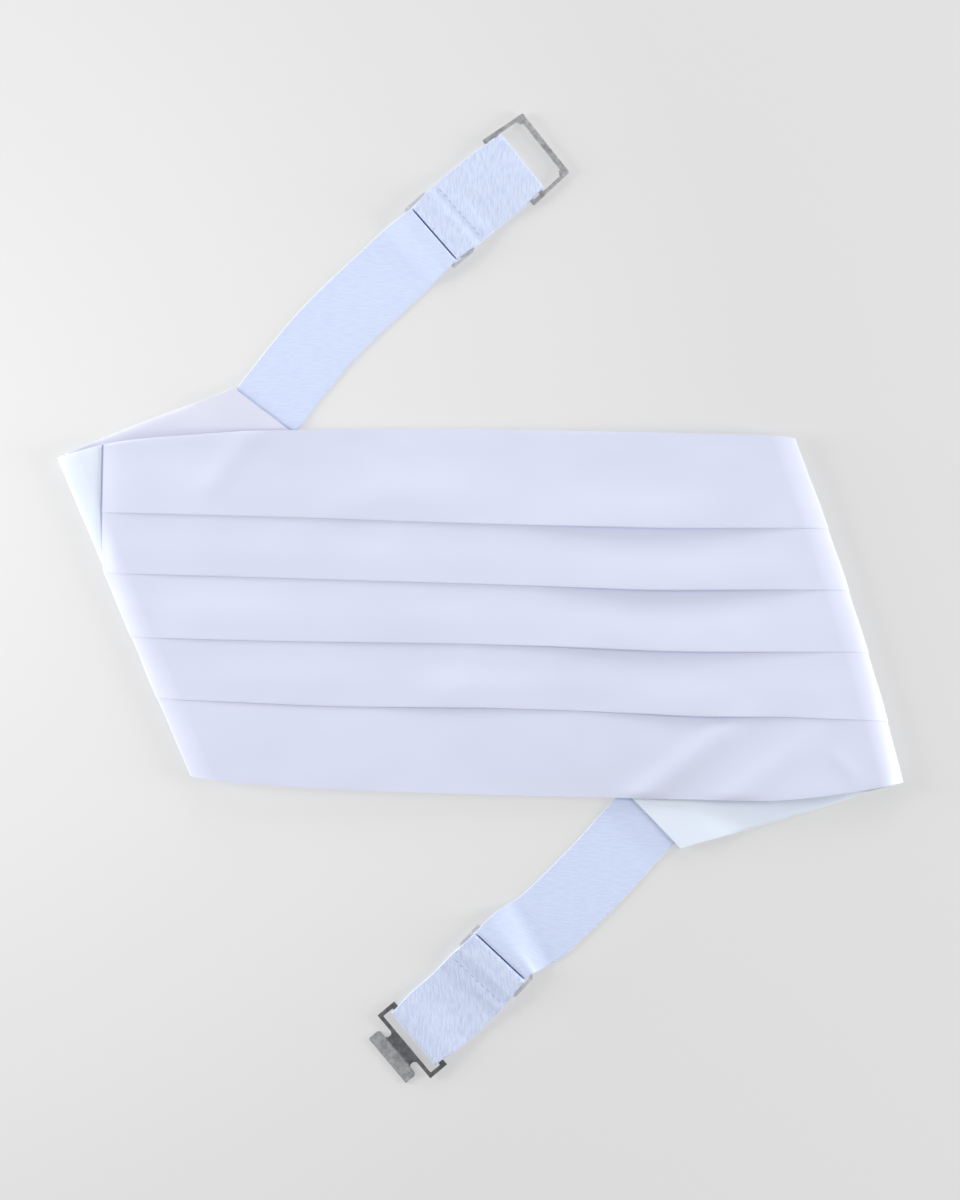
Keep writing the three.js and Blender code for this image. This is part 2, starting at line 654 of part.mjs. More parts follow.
const cummerbund = new THREE.Group();
cummerbund.add(
  named('pleated_front', pleatedFront(), SATIN_WHITE, 0.42, 0),
  named('left_wing', wing(LEFT_FOLD), SATIN_WHITE, 0.42, 0),
  named('right_wing', wing(RIGHT_FOLD), SATIN_WHITE, 0.42, 0),
  named('left_lining', lining(LEFT_FOLD), LINING_WHITE, 0.6, 0),
  named('right_lining', lining(RIGHT_FOLD), LINING_WHITE, 0.6, 0),
  named('loop_strap', strap(loopStart, LOOP_STRAP_CURVE, LOOP_SLIDER_AT, LOOP_END_AT), ELASTIC_WHITE, 0.8, 0),
  named('hook_strap', strap(hookStart, HOOK_STRAP_CURVE, HOOK_SLIDER_AT, HOOK_END_AT), ELASTIC_WHITE, 0.8, 0),
  seated(named('loop_strap_slider', sliderPlate(), SLIDER_SILVER, 0.3, 1),
    loopStart, LOOP_STRAP_CURVE, LOOP_END_AT, LOOP_SLIDER_AT, sliderHeight),
  seated(named('hook_strap_slider', sliderPlate(), SLIDER_SILVER, 0.3, 1),
    hookStart, HOOK_STRAP_CURVE, HOOK_END_AT, HOOK_SLIDER_AT, sliderHeight),
  seated(named('loop_eye', loopPlate(), AGED_NICKEL, 0.4, 1),
    loopStart, LOOP_STRAP_CURVE, LOOP_END_AT, LOOP_END_AT, hardwareHeight),
  seated(named('hook_plate', hookPlate(), AGED_NICKEL, 0.4, 1),
    hookStart, HOOK_STRAP_CURVE, HOOK_END_AT, HOOK_END_AT, hardwareHeight),
);

// The origin is the middle of the whole object's footprint, on the surface it lies on
cummerbund.updateMatrixWorld(true);
const box = new THREE.Box3().setFromObject(cummerbund, true);
cummerbund.position.set(-(box.min.x + box.max.x) / 2, -(box.min.y + box.max.y) / 2, -box.min.z);

export default cummerbund;
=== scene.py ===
# %% [markdown]
# A white satin cummerbund lies flat with its pleated front up. Both tapered ends are folded behind it
# along slanting lines, and each end runs on into an elastic strap with a slider and a metal fastener.
# The CAD model holds every size and place. This script dresses it: real cloth folded into pleats, ribbed
# elastic, stitches and nickel plate. We start by loading that fixed frame and measuring its box.

# %% Load the fixed frame
import math
from collections import namedtuple

import bmesh
import bpy
from mathutils import Matrix, Vector, noise


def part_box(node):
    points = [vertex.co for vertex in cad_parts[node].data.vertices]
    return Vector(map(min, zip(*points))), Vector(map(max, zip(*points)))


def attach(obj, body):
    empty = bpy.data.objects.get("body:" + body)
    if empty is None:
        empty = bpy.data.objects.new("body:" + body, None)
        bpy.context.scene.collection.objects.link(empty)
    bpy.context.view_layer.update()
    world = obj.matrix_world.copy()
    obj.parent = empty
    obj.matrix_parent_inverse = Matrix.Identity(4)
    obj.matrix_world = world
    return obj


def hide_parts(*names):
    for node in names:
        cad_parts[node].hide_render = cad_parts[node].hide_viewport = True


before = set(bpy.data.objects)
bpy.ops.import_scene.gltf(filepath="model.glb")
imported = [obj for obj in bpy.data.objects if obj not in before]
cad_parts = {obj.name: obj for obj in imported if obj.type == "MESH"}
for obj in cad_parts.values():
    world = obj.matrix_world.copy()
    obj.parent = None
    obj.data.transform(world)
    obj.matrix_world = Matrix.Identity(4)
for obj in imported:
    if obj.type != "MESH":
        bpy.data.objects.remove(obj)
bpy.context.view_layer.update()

MM = 0.001

# %% [markdown]
# The camera and the light come first, so that a render made after any later cell already shows the
# photograph's view. The photograph looks straight down and its pleats run 1.2 degrees downhill to the
# right, so the camera is turned by that much. A long lens far away shows hardly any perspective. One
# pixel of the photograph is 0.348 mm wide, and the lens follows from that and the distance.

# %% Set the camera over the middle of the photograph
PIXEL_SIZE = 0.348 * MM
PHOTO_HEIGHT = 1200
PHOTO_TURN = math.radians(1.2)
PHOTO_MIDDLE = (-0.7 * MM, -0.4 * MM)
CAMERA_DISTANCE = 1.7
SENSOR_HEIGHT = 24

camera_data = bpy.data.cameras.new("camera")
camera_data.sensor_fit = "VERTICAL"
camera_data.sensor_height = SENSOR_HEIGHT
camera_data.lens = SENSOR_HEIGHT * CAMERA_DISTANCE / (PHOTO_HEIGHT * PIXEL_SIZE)
camera_data.clip_start = 0.05
camera = bpy.data.objects.new("camera", camera_data)
bpy.context.collection.objects.link(camera)
camera.location = (*PHOTO_MIDDLE, CAMERA_DISTANCE)
camera.rotation_euler = (0, 0, PHOTO_TURN)
bpy.context.scene.camera = camera
print("lens in mm:", round(camera_data.lens, 1))

# %% [markdown]
# Satin shows its form through broad soft light from the sides. A pale dome fills everything, one large
# panel beyond the top edge models the pleats, and two stronger ones, low at the ends, brighten the rounded
# folds. A picture of a room could light the table too, but single panels can be tuned one by one.

# %% Light the table
DOME_STRENGTH = 0.298
TABLE_MIDDLE = Vector((0, 0, 0))


def area_light(name, place, size, power):
    data = bpy.data.lights.new(name, "AREA")
    data.shape = "RECTANGLE"
    data.size, data.size_y = size
    data.energy = power
    light = bpy.data.objects.new(name, data)
    bpy.context.collection.objects.link(light)
    light.location = place
    light.rotation_euler = (TABLE_MIDDLE - Vector(place)).to_track_quat("-Z", "Y").to_euler()


world = bpy.data.worlds.new("studio dome")
bpy.context.scene.world = world
world.use_nodes = True
world.node_tree.nodes["Background"].inputs["Color"].default_value = (1, 1, 1, 1)
world.node_tree.nodes["Background"].inputs["Strength"].default_value = DOME_STRENGTH
area_light("panel beyond the top edge", (0.0, 0.95, 0.46), (1.2, 0.5), 4.6)
area_light("panel at the left end", (-0.95, 0.05, 0.17), (0.3, 1.0), 14.0)
area_light("panel at the right end", (0.95, -0.05, 0.17), (0.3, 1.0), 12.3)
bpy.context.scene.view_settings.view_transform = "Standard"

# %% [markdown]
# Every material is built from nodes. Colours are written as the sRGB hex values that a picture editor
# shows, and one function turns them to linear light. A second one adds any node with its settings, the
# colour stops of a ramp and its links, so that each material below reads as a short recipe. An input is
# named by its label, or by its number where a node has several inputs of one label.

# %% Helpers for materials
def linear(hex_color):
    channels = [int(hex_color[k:k + 2], 16) / 255 for k in (1, 3, 5)]
    return (*[c / 12.92 if c <= 0.04045 else ((c + 0.055) / 1.055) ** 2.4 for c in channels], 1)


def add_node(material, kind, settings=None, stops=(), **inputs):
    node = material.node_tree.nodes.new("ShaderNode" + kind)
    for name, value in (settings or {}).items():
        setattr(node, name, value)
    for k, (place, color) in enumerate(stops):
        node.color_ramp.elements[k].position = place
        node.color_ramp.elements[k].color = linear(color)
    for name, value in inputs.items():
        socket = node.inputs[int(name[1:])] if name[1:].isdigit() else node.inputs[name.replace("_", " ")]
        if isinstance(value, bpy.types.NodeSocket):
            material.node_tree.links.new(value, socket)
        else:
            socket.default_value = value
    return node


def new_material(name):
    material = bpy.data.materials.new(name)
    material.use_nodes = True
    material.node_tree.nodes.clear()
    return material


def finish_material(material, surface):
    add_node(material, "OutputMaterial", Surface=surface.outputs[0])
    return material


def paint_shade(material, color, value, low, high, stops):
    """Paint shade: multiply a colour by a tone that changes while `value` goes from low to high."""
    share = add_node(material, "MapRange", _0=value, _1=low, _2=high, _3=0.0, _4=1.0)
    tone = add_node(material, "ValToRGB", stops=stops, Fac=share.outputs[0]).outputs["Color"]
    return add_node(material, "VectorMath", {"operation": "MULTIPLY"}, _0=color, _1=tone).outputs[0]


print("helpers ready")

# %% [markdown]
# The face cloth is polyester satin: long floats lie side by side, so it is smooth, cool white and glows
# softly at grazing angles. Sheen gives that glow. Real threads are 0.15 mm apart, too fine to show here,
# so the floats are drawn as streaks about 0.6 mm wide and 9 mm long, and they follow the cloth's own UV.
# A picture of woven cloth could be laid on, but noise never repeats. The linings are acetate, which is
# duller. The wing's satin is painted lighter than the front, a painted highlight for the side light on
# it, and the left lining is painted darker as shade and the right one lighter as light. Beside the left
# seam the turned-under edge draws in by less than a pixel, and a thin line of painted shade stands for
# the shadow in that gap.

# %% Satin and lining
FLOAT_SIZE = (9, 0.6)
CLOUD_SIZE = (60, 35)
LEFT_SEAM_X = -132.8
SEAM_SHADE = 0.8
SEAM_PAINTED_SHADE = [(0.45, "#A9AFBF"), (1.0, "#FFFFFF")]


def cloth_pattern(material, size_mm, detail):
    uv = add_node(material, "UVMap", {"uv_map": "cloth"})
    along, across = size_mm
    scale = (1 / (along * MM), 1 / (across * MM), 1)
    placed = add_node(material, "Mapping", Vector=uv.outputs["UV"], Scale=scale)
    return add_node(material, "TexNoise", Vector=placed.outputs[0], Scale=1.0, Detail=detail, Roughness=0.6)


def satin(name, shade, light, roughness, sheen, streak_depth, seam_x=None):
    material = new_material(name)
    floats = cloth_pattern(material, FLOAT_SIZE, 3)
    clouds = cloth_pattern(material, CLOUD_SIZE, 2)
    colors = add_node(material, "ValToRGB", stops=[(0.3, shade), (0.7, light)], Fac=clouds.outputs["Fac"])
    color = colors.outputs["Color"]
    # Painted shade: a thin dark line beside the left seam, for the shadow in its narrow gap.
    if seam_x is not None:
        where = add_node(material, "TexCoord").outputs["Object"]
        x = add_node(material, "SeparateXYZ", _0=where).outputs["X"]
        color = paint_shade(material, color, x, seam_x, seam_x + SEAM_SHADE * MM, SEAM_PAINTED_SHADE)
    bump = add_node(
        material, "Bump", Height=floats.outputs["Fac"], Strength=0.35, Distance=streak_depth * MM,
    )
    surface = add_node(
        material, "BsdfPrincipled", Base_Color=color, Normal=bump.outputs[0], Roughness=roughness,
        Sheen_Weight=sheen, Sheen_Roughness=0.35, Sheen_Tint=linear("#F4F7FF"), Anisotropic=0.4,
    )
    return finish_material(material, surface)


satin_face = satin("cool white polyester satin", "#DADFF3", "#E1E5FA", 0.36, 0.3, 0.02, LEFT_SEAM_X * MM)
# The wing is the front's satin painted lighter: a painted highlight for the side light on it.
lit_satin_wing = satin("cool white satin wing, painted lighter", "#E4EDFB", "#E9F1FE", 0.36, 0.3, 0.02)
# Both linings are one acetate: the left is painted darker as shade, the right lighter as light.
shaded_left_acetate = satin("white acetate lining", "#DCDEEF", "#E2E4F4", 0.5, 0.15, 0.03)
lit_right_acetate = satin("cool white acetate lining, painted light", "#E6EFFF", "#ECF5FF", 0.5, 0.15, 0.03)
print("cloth materials:", [m.name for m in (satin_face, lit_satin_wing, shaded_left_acetate, lit_right_acetate)])

# %% [markdown]
# Elastic webbing is woven with rubber cores, and its face shows a fine broken twill, a slant of ribs. The
# side that turns up past the slider shows the twill strongly, and the other side is nearly smooth. Each
# side has its own material, and both follow the strap's UV, so the twill turns with the webbing. Threads
# could be modelled one by one, but a bump is enough for a twill 0.6 mm wide. The wave texture draws 3.2
# bands in each unit at scale 1, so the pitch of the cross threads is divided by that.

# %% Elastic webbing
RIB_PITCH = 0.6
RIB_LENGTH = 3.8
RIB_ANGLE = math.radians(130)
PICK_PITCH = 0.7
BANDS_PER_UNIT = 3.2


def elastic_webbing(name, rib_strength, valley, crest):
    material = new_material(name)
    uv = add_node(material, "UVMap", {"uv_map": "cloth"})
    placed = add_node(material, "Mapping", Vector=uv.outputs["UV"], Scale=(1 / MM, 1 / MM, 1))
    slanted = add_node(
        material, "Mapping", {"vector_type": "TEXTURE"}, Vector=uv.outputs["UV"],
        Rotation=(0, 0, RIB_ANGLE), Scale=(RIB_LENGTH * MM, RIB_PITCH * MM, 1),
    )
    ribs = add_node(material, "TexNoise", Vector=slanted.outputs[0], Scale=1.0, Detail=2, Roughness=0.55)
    picks = add_node(
        material, "TexWave", {"wave_type": "BANDS", "bands_direction": "X"}, Vector=placed.outputs[0],
        Scale=1 / PICK_PITCH / BANDS_PER_UNIT, Distortion=0.8, Detail=1.0,
    )
    height = add_node(material, "Math", {"operation": "MULTIPLY_ADD"}, _0=picks.outputs["Fac"],
                      _1=0.1, _2=ribs.outputs["Fac"])
    color = add_node(material, "ValToRGB", stops=[(0.38, valley), (0.6, crest)], Fac=ribs.outputs["Fac"])
    bump = add_node(material, "Bump", Height=height.outputs[0], Strength=rib_strength, Distance=0.5 * MM)
    surface = add_node(
        material, "BsdfPrincipled", Base_Color=color.outputs["Color"], Normal=bump.outputs[0],
        Roughness=0.75, Sheen_Weight=0.15, Sheen_Roughness=0.5,
    )
    return finish_material(material, surface)


elastic_face = elastic_webbing("smooth face of white elastic", 0.12, "#D1DCF9", "#D6E1FC")
elastic_back = elastic_webbing("ribbed face of white elastic", 0.6, "#CAD5F4", "#D9E4FB")
print("elastic:", elastic_face.name, "and", elastic_back.name)

# %% [markdown]
# The loop and the hook are stamped steel with old nickel plate: grey metal, cloudy and pitted, duller
# where it was handled. Noise at two sizes gives the clouds and the pits. The hook's neck and base are
# painted darker than its flat head, as painted shade, so its colour changes along its heading. The sliders
# are painted nearly white, a painted highlight for glare. Stitches are plain twisted polyester thread,
# painted darker than the webbing as shade where it sinks in. Clean metal would mirror the studio, so the
# worn plate is only partly metallic.

# %% Metal and thread
PIT_SIZE = 0.35
HOOK_HEAD = 4.4
TONE_CHANGE = 0.8
NECK_PAINTED_SHADE = [(0.0, "#A6A6A8"), (1.0, "#FFFFFF")]


def nickel(name, dark, pale, roughness, cloud_mm, pit_depth, metallic, head=None):
    material = new_material(name)
    where = add_node(material, "TexCoord").outputs["Object"]
    clouds = add_node(
        material, "TexNoise", Vector=where, Scale=1 / (cloud_mm * MM), Detail=6, Roughness=0.65,
    )
    pits = add_node(material, "TexNoise", Vector=where, Scale=1 / (PIT_SIZE * MM), Detail=3, Roughness=0.7)
    colors = add_node(material, "ValToRGB", stops=[(0.36, dark), (0.64, pale)], Fac=clouds.outputs["Fac"])
    color = colors.outputs["Color"]
    # Painted shade: the hook's neck and base are darker than its flat head.
    if head:
        heading, far = head
        along = add_node(material, "VectorMath", {"operation": "DOT_PRODUCT"}, _0=where, _1=heading)
        neck = far - (HOOK_HEAD + TONE_CHANGE) * MM
        color = paint_shade(material, color, along.outputs["Value"], neck, far - HOOK_HEAD * MM, NECK_PAINTED_SHADE)
    rough = add_node(material, "MapRange", _0=clouds.outputs["Fac"], _1=0.3, _2=0.7,
                     _3=roughness + 0.12, _4=roughness - 0.08)
    bump = add_node(material, "Bump", Height=pits.outputs["Fac"], Strength=0.4, Distance=pit_depth * MM)
    surface = add_node(
        material, "BsdfPrincipled", Base_Color=color, Metallic=metallic, Roughness=rough.outputs[0],
        Normal=bump.outputs[0],
    )
    return finish_material(material, surface)


HOOK_HEADING = Vector((-0.753, -0.659, 0))
hook_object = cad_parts["hook_plate"]
hook_places = [hook_object.matrix_world @ vertex.co for vertex in hook_object.data.vertices]
hook_far = max(place.dot(HOOK_HEADING) for place in hook_places)
loop_nickel = nickel("aged nickel plate", "#A2A3A7", "#DADADC", 0.36, 3.0, 0.08, 0.55)
hook_nickel = nickel(
    "worn nickel plate, painted neck shade", "#989A9E", "#CDCDD0", 0.38, 2.2, 0.08, 0.5, (HOOK_HEADING, hook_far),
)
# The sliders are painted nearly white: a painted highlight for the glare on their plate.
glare_white_nickel = nickel("bright nickel plate", "#E0E2E6", "#F4F5F7", 0.3, 4.0, 0.03, 0.35)
# The white thread is painted darker than the webbing: painted shade where it sinks in.
thread = new_material("white polyester thread, painted shaded")
finish_material(thread, add_node(
    thread, "BsdfPrincipled", Base_Color=linear("#A9B7DA"), Roughness=0.6, Sheen_Weight=0.2,
))
print("metals:", loop_nickel.name, hook_nickel.name, "and", glare_white_nickel.name)

# %% [markdown]
# The cloth's sizes are those of the CAD model, in millimetres. Each end fold is a line that crosses the
# band at `out` from its middle and leans by `lean`. A point of the flat cloth lies at u along the band, v
# across it and n out of its face. One function, `lay`, carries it round the folds to its place. A cloth
# simulation could fold it too, but would not hold the CAD model's places. The fold is pressed, so its upper
# quarter is flatter and wider than a circle, and the cloth is shared out along it by its true length.

# %% The fold that carries flat cloth into place
FRONT_HEIGHT = 127
FRONT_LENGTH = 282
BODY_LENGTH = 442
FOLD_RADIUS = 2.6
STACK = 2.3
GAP = 0.3
LEVEL_RAMP = 14
SAG = 5
SAG_REACH = 145
EASE_IN = 5.2
FOLD_SHAPE = 1.4
SEAM_TUCK = 10
STRAP_TUCK = 10

Fold = namedtuple("Fold", "side out lean bow drift taper")
LEFT_TAPER = [(0, 1), (0.23, 0.988), (0.416, 0.962), (0.561, 0.914), (0.634, 0.876), (0.71, 0.79),
              (0.785, 0.65), (0.87, 0.48), (0.95, 0.305), (1, 0.2)]
RIGHT_TAPER = [(0, 1), (0.43, 1), (0.507, 0.967), (0.606, 0.905), (0.66, 0.85), (0.73, 0.745),
               (0.8, 0.605), (0.86, 0.49), (0.93, 0.345), (1, 0.2)]
LEFT = Fold(-1, 131.6, math.radians(24.26), 0, 0.1, LEFT_TAPER)
RIGHT = Fold(1, 117.1, math.radians(18.54), 2.2, -0.228, RIGHT_TAPER)
DRIFT_START = 0.7

half_height = FRONT_HEIGHT / 2
half_front = FRONT_LENGTH / 2
half_body = BODY_LENGTH / 2
axis_height = FOLD_RADIUS + STACK
fold_arc = math.pi * FOLD_RADIUS
quarter_arc = fold_arc / 2


def smooth(value):
    t = min(1, max(0, value))
    return t * t * (3 - 2 * t)


def interpolate(rows, at):
    if at <= rows[0][0]:
        return rows[0][1]
    for (x0, y0), (x1, y1) in zip(rows, rows[1:]):
        if at <= x1:
            return y0 + (y1 - y0) * (at - x0) / (x1 - x0)
    return rows[-1][1]


def softened(rows, at, reach):
    """Interpolate, but as the mean of five places within `reach`, which rounds the corners off."""
    low, high = rows[0][0], rows[-1][0]
    samples = [interpolate(rows, min(high, max(low, at + reach * k / 2))) for k in (-2, -1, 0, 1, 2)]
    return sum(samples) / len(samples)


def taper_half(fold, out):
    return half_height * softened(fold.taper, out / half_body, 0.03)


def drift_at(fold, out):
    """How far the tapering end strays sideways, so that it points at its strap."""
    return fold.drift * half_height * max(0, (out / half_body - DRIFT_START) / (1 - DRIFT_START))


def past_straight(fold, u, v):
    return fold.side * (u * math.cos(fold.lean) + v * math.sin(fold.lean)) - fold.out * math.cos(fold.lean)


def past_fold(fold, u, v):
    """How many millimetres a point of the flat cloth lies beyond a fold's bowed line."""
    along_axis = v * math.cos(fold.lean) - (u - fold.side * fold.out) * math.sin(fold.lean)
    share = along_axis * math.cos(fold.lean) / half_height
    return past_straight(fold, u, v) - fold.bow * max(0, 1 - share * share)


def quarter_turn(angle, radius):
    """A point of the pressed fold's upper quarter, as (how far out, how high)."""
    outward = (EASE_IN + radius) * max(0, math.sin(angle)) ** FOLD_SHAPE - EASE_IN
    return outward, radius * max(0, math.cos(angle)) ** FOLD_SHAPE


def angle_rows(steps=120):
    """Rows of (share of the quarter's cloth, angle it has turned by)."""
    angles = [math.pi / 2 * k / steps for k in range(steps + 1)]
    places = [Vector(quarter_turn(angle, FOLD_RADIUS)) for angle in angles]
    lengths = [0]
    for before, after in zip(places, places[1:]):
        lengths.append(lengths[-1] + (after - before).length)
    return [(length / lengths[-1], angle) for length, angle in zip(lengths, angles)]


turned_angles = angle_rows()


def lay(u, v, n):
    """Carry a point of the flat cloth over the sagging middle, round its fold and back underneath."""
    fold = LEFT if u < 0 else RIGHT
    past = past_fold(fold, u, v)
    radius = FOLD_RADIUS + n
    if past <= -EASE_IN:
        inside = -max(past_fold(LEFT, u, v), past_fold(RIGHT, u, v))
        return Vector((u, v, axis_height + radius - SAG * smooth(inside / SAG_REACH)))
    if past <= quarter_arc:
        angle = interpolate(turned_angles, (past + EASE_IN) / (quarter_arc + EASE_IN))
        outward, height = quarter_turn(angle, radius)
    else:
        turned = min(past / FOLD_RADIUS, math.pi)
        outward = radius * math.sin(turned) if past < fold_arc else fold_arc - past
        height = radius * math.cos(turned)
    shift = fold.side * (outward - past)
    return Vector((
        u + shift * math.cos(fold.lean), v + shift * math.sin(fold.lean),
        axis_height + height - SAG * smooth(-past / SAG_REACH),
    ))


print("fold arc in mm:", round(fold_arc, 2))

# %% [markdown]
# The CAD model's origin is the middle of its footprint. The flat cloth is measured from the middle of the
# band, so the two differ by one shift. It could be typed in, but it is read from the frame, so that it
# stays true if the model changes: the front's top edge lies half its height up, and the left wing's corner
# is the leftmost point of the fold.

# %% Find the shift between the flat cloth and the frame
def left_corner():
    outs = [half_front + k * 0.25 for k in range(160)]
    return min(lay(-out, taper_half(LEFT, out), -GAP).x for out in outs)


shift = Vector((
    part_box("left_wing")[0][0] / MM - left_corner(),
    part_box("pleated_front")[1][1] / MM - half_height,
    0,
))
to_frame = Matrix.Scale(MM, 4) @ Matrix.Translation(shift)
print("shift in mm:", [round(c, 2) for c in shift])

# %% [markdown]
# A sheet starts as Blender's own grid. Each column of the grid becomes a line across the cloth, and each
# row a place along its section, so the grid bends with the folds and never crosses them at a slant. The
# flat position is kept as the UV, which gives the weave its true scale. Solidify then gives the cloth its
# thickness, and the open edges are kept sharp, so that its cut faces don't shade the sheet beside them.

# %% Make a sheet from a grid
WELD = 0.002 * MM
SHARP_EDGE = math.radians(55)


def new_piece(name, bm, material, body="root"):
    mesh = bpy.data.meshes.new(name)
    for edge in bm.edges:
        edge.smooth = not edge.is_boundary
    bm.to_mesh(mesh)
    bm.free()
    mesh.materials.append(material)
    for polygon in mesh.polygons:
        polygon.use_smooth = True
    piece = bpy.data.objects.new(name, mesh)
    bpy.context.collection.objects.link(piece)
    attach(piece, body)
    return piece


def grid_sheet(columns, rows, flat_of, place_of):
    """Bends a grid: flat_of(column, row) gives the UV in mm, place_of(column, row) the place in mm."""
    bm = bmesh.new()
    layer = bm.loops.layers.uv.new("cloth")
    bmesh.ops.create_grid(bm, x_segments=len(columns) - 1, y_segments=len(rows) - 1, size=1)
    flat = {}
    for vert in bm.verts:
        column = columns[round((vert.co.x + 1) / 2 * (len(columns) - 1))]
        row = rows[round((vert.co.y + 1) / 2 * (len(rows) - 1))]
        flat[vert.index] = flat_of(column, row)
        vert.co = to_frame @ place_of(column, row)
    bm.verts.index_update()
    for face in bm.faces:
        for loop in face.loops:
            loop[layer].uv = [c * MM for c in flat[loop.vert.index]]
    bmesh.ops.remove_doubles(bm, verts=bm.verts, dist=WELD)
    bmesh.ops.dissolve_degenerate(bm, edges=bm.edges, dist=WELD)
    return bm


def thicken(piece, thickness, bevel=0.0):
    solid = piece.modifiers.new("cloth thickness", "SOLIDIFY")
    solid.thickness = thickness * MM
    solid.offset = 0
    if bevel:
        edge = piece.modifiers.new("soft edge", "BEVEL")
        edge.width = bevel * MM
        edge.segments = 2
        edge.limit_method = "ANGLE"
        edge.angle_limit = SHARP_EDGE


def spread(start, end, step):
    count = max(1, math.ceil(abs(end - start) / step))
    return [start + (end - start) * k / count for k in range(count + 1)]


def fold_line(fold, past):
    return lambda v: fold.out + (past - fold.side * v * math.sin(fold.lean)) / math.cos(fold.lean)


print("sheet tools ready")

# %% [markdown]
# The front is one length of satin folded into four pleats. Its section is a zigzag: each panel runs down
# over the next, turns under at a rounded nose, climbs back inside and turns down again as the next panel.
# Five separate strips would be easier, but only one length gives the noses their true roundness. The table
# gives each pleat's edge as a share of the height, where it stands off, and how its edge strays.

# %% The pleats' section
CLOTH = 0.26
PLEAT_DEPTH = 7.0
TURN_RADIUS = 0.17
BASE = 0.25
SETTLED = 4.5
NOSE_FADE = 14
TOP_PANEL = 20
BOTTOM_PANEL = 6
Pleat = namedtuple("Pleat", "share lifts sway")
Lift = namedtuple("Lift", "at reach height")
FLAT = Pleat(0, [], [(0, 0)])
PLEATS = [
    Pleat(0.25, [Lift(46, 62, 2.3), Lift(-60, 40, 0.2)],
          [(-120, 0), (-60, -0.4), (-20, -1.1), (60, -1.3), (95, -0.4), (120, 0)]),
    Pleat(0.172, [Lift(56, 62, 2.2), Lift(-20, 50, 0.25)],
          [(-120, 0.8), (-80, 0.4), (0, -0.2), (50, -1.1), (90, 0), (120, 0.5)]),
    Pleat(0.167, [Lift(50, 62, 1.8), Lift(-40, 35, 0.2)],
          [(-120, 0), (-80, -0.3), (0, 0.3), (60, -1.0), (100, -0.2), (120, 0.2)]),
    Pleat(0.176, [Lift(-18, 34, 0.6), Lift(66, 38, 1.5)],
          [(-120, 1.2), (-100, 0.9), (-60, -0.2), (0, 0.6), (50, -0.4), (75, -1.2), (90, -0.2),
           (120, -1.0)]),
]
Row = namedtuple("Row", "place n pleat lift upper mix", defaults=(0, FLAT, 0))


def fixed(v):
    return lambda fold, out: v


def arc_rows(center_v, center_n, start, end, count, pleat, lift):
    rows = []
    for k in range(count + 1):
        angle = math.radians(start + (end - start) * k / count)
        place = fixed(center_v + TURN_RADIUS * math.cos(angle))
        rows.append(Row(place, center_n + TURN_RADIUS * math.sin(angle), pleat, lift))
    return rows


def pleat_edges():
    edge = half_height
    edges = []
    for pleat in PLEATS:
        edge -= pleat.share * FRONT_HEIGHT
        edges.append(edge)
    return edges


def edge_rows(sign, inner_v):
    """Rows from the clear cloth beside the last pleat out to the band's tapered edge."""
    return [
        Row(lambda fold, out, s=share: inner_v + s * (sign * taper_half(fold, out) - inner_v), BASE, FLAT)
        for share in spread(0, 1, 0.07)
    ]


def pleat_rows(pleat, edge, above, upper):
    """Rows up the section: back layer, inner turn, middle layer, nose, then the panel up to `upper`."""
    middle = BASE + 2 * TURN_RADIUS
    top = middle + 2 * TURN_RADIUS
    inner = edge + PLEAT_DEPTH
    rows = [Row(fixed(v), BASE, pleat) for v in spread(edge - SETTLED, inner - 1, 1.5)]
    rows += arc_rows(inner - TURN_RADIUS, BASE + TURN_RADIUS, -90, 90, 6, pleat, 0)
    for v in spread(inner - 1.2, edge + 1, 1.2):
        rows.append(Row(fixed(v), middle, pleat, smooth((inner - 1 - v) / 5)))
    rows += arc_rows(edge + TURN_RADIUS, middle + TURN_RADIUS, -90, -270, 8, pleat, 1)
    for v in spread(edge + 1, upper - 1.2, 1.4):
        n = top + (BASE - top) * smooth((v - inner) / (upper - inner))
        lift = smooth(1 - (v - edge) / NOSE_FADE)
        rows.append(Row(fixed(v), n, pleat, lift, above, (v - edge) / (upper - edge)))
    return rows


def section_rows():
    edges = pleat_edges()
    rows = list(reversed(edge_rows(-1, edges[-1] - BOTTOM_PANEL)))
    for k in reversed(range(len(PLEATS))):
        above = PLEATS[k - 1] if k else FLAT
        upper = edges[k - 1] - SETTLED if k else edges[k] + TOP_PANEL
        rows += pleat_rows(PLEATS[k], edges[k], above, upper)
    return rows + edge_rows(1, edges[0] + TOP_PANEL)


rows = section_rows()
print("rows across the pleats:", len(rows))

# %% [markdown]
# Laid satin is never quite smooth. Broad ripples come from soft noise, and the seven wrinkles that the
# photograph shows are laid in one by one, each as a ridge from a start to an end that fades at both. Noise
# alone would put them anywhere. All the layers at one place move together, so none of them cuts another.
# Where a pleat stands off, its nose lifts by a soft hump, and that gives the wide shadows.

# %% Ripples, wrinkles and lifted pleats
WRINKLE_FADE = 0.3
SWAY_REACH = 12
Ripple = namedtuple("Ripple", "along across layer height")
RIPPLES = [Ripple(52, 30, 3.1, 0.42), Ripple(17, 13, 9.7, 0.12)]
Wrinkle = namedtuple("Wrinkle", "start end width height")
WRINKLES = [
    Wrinkle((32, -76), (92, -28), 6.5, 1.6),
    Wrinkle((62, -78), (116, -34), 7.0, 1.2),
    Wrinkle((-34, -33), (34, -9), 8.0, 0.75),
    Wrinkle((-30, 52), (-29, 64), 1.6, 0.35),
    Wrinkle((-108, 36), (-84, 66), 6.0, 0.7),
    Wrinkle((-74, 30), (-26, 46), 8.0, 0.5),
    Wrinkle((112, -44), (126, -58), 4.0, 0.4),
]


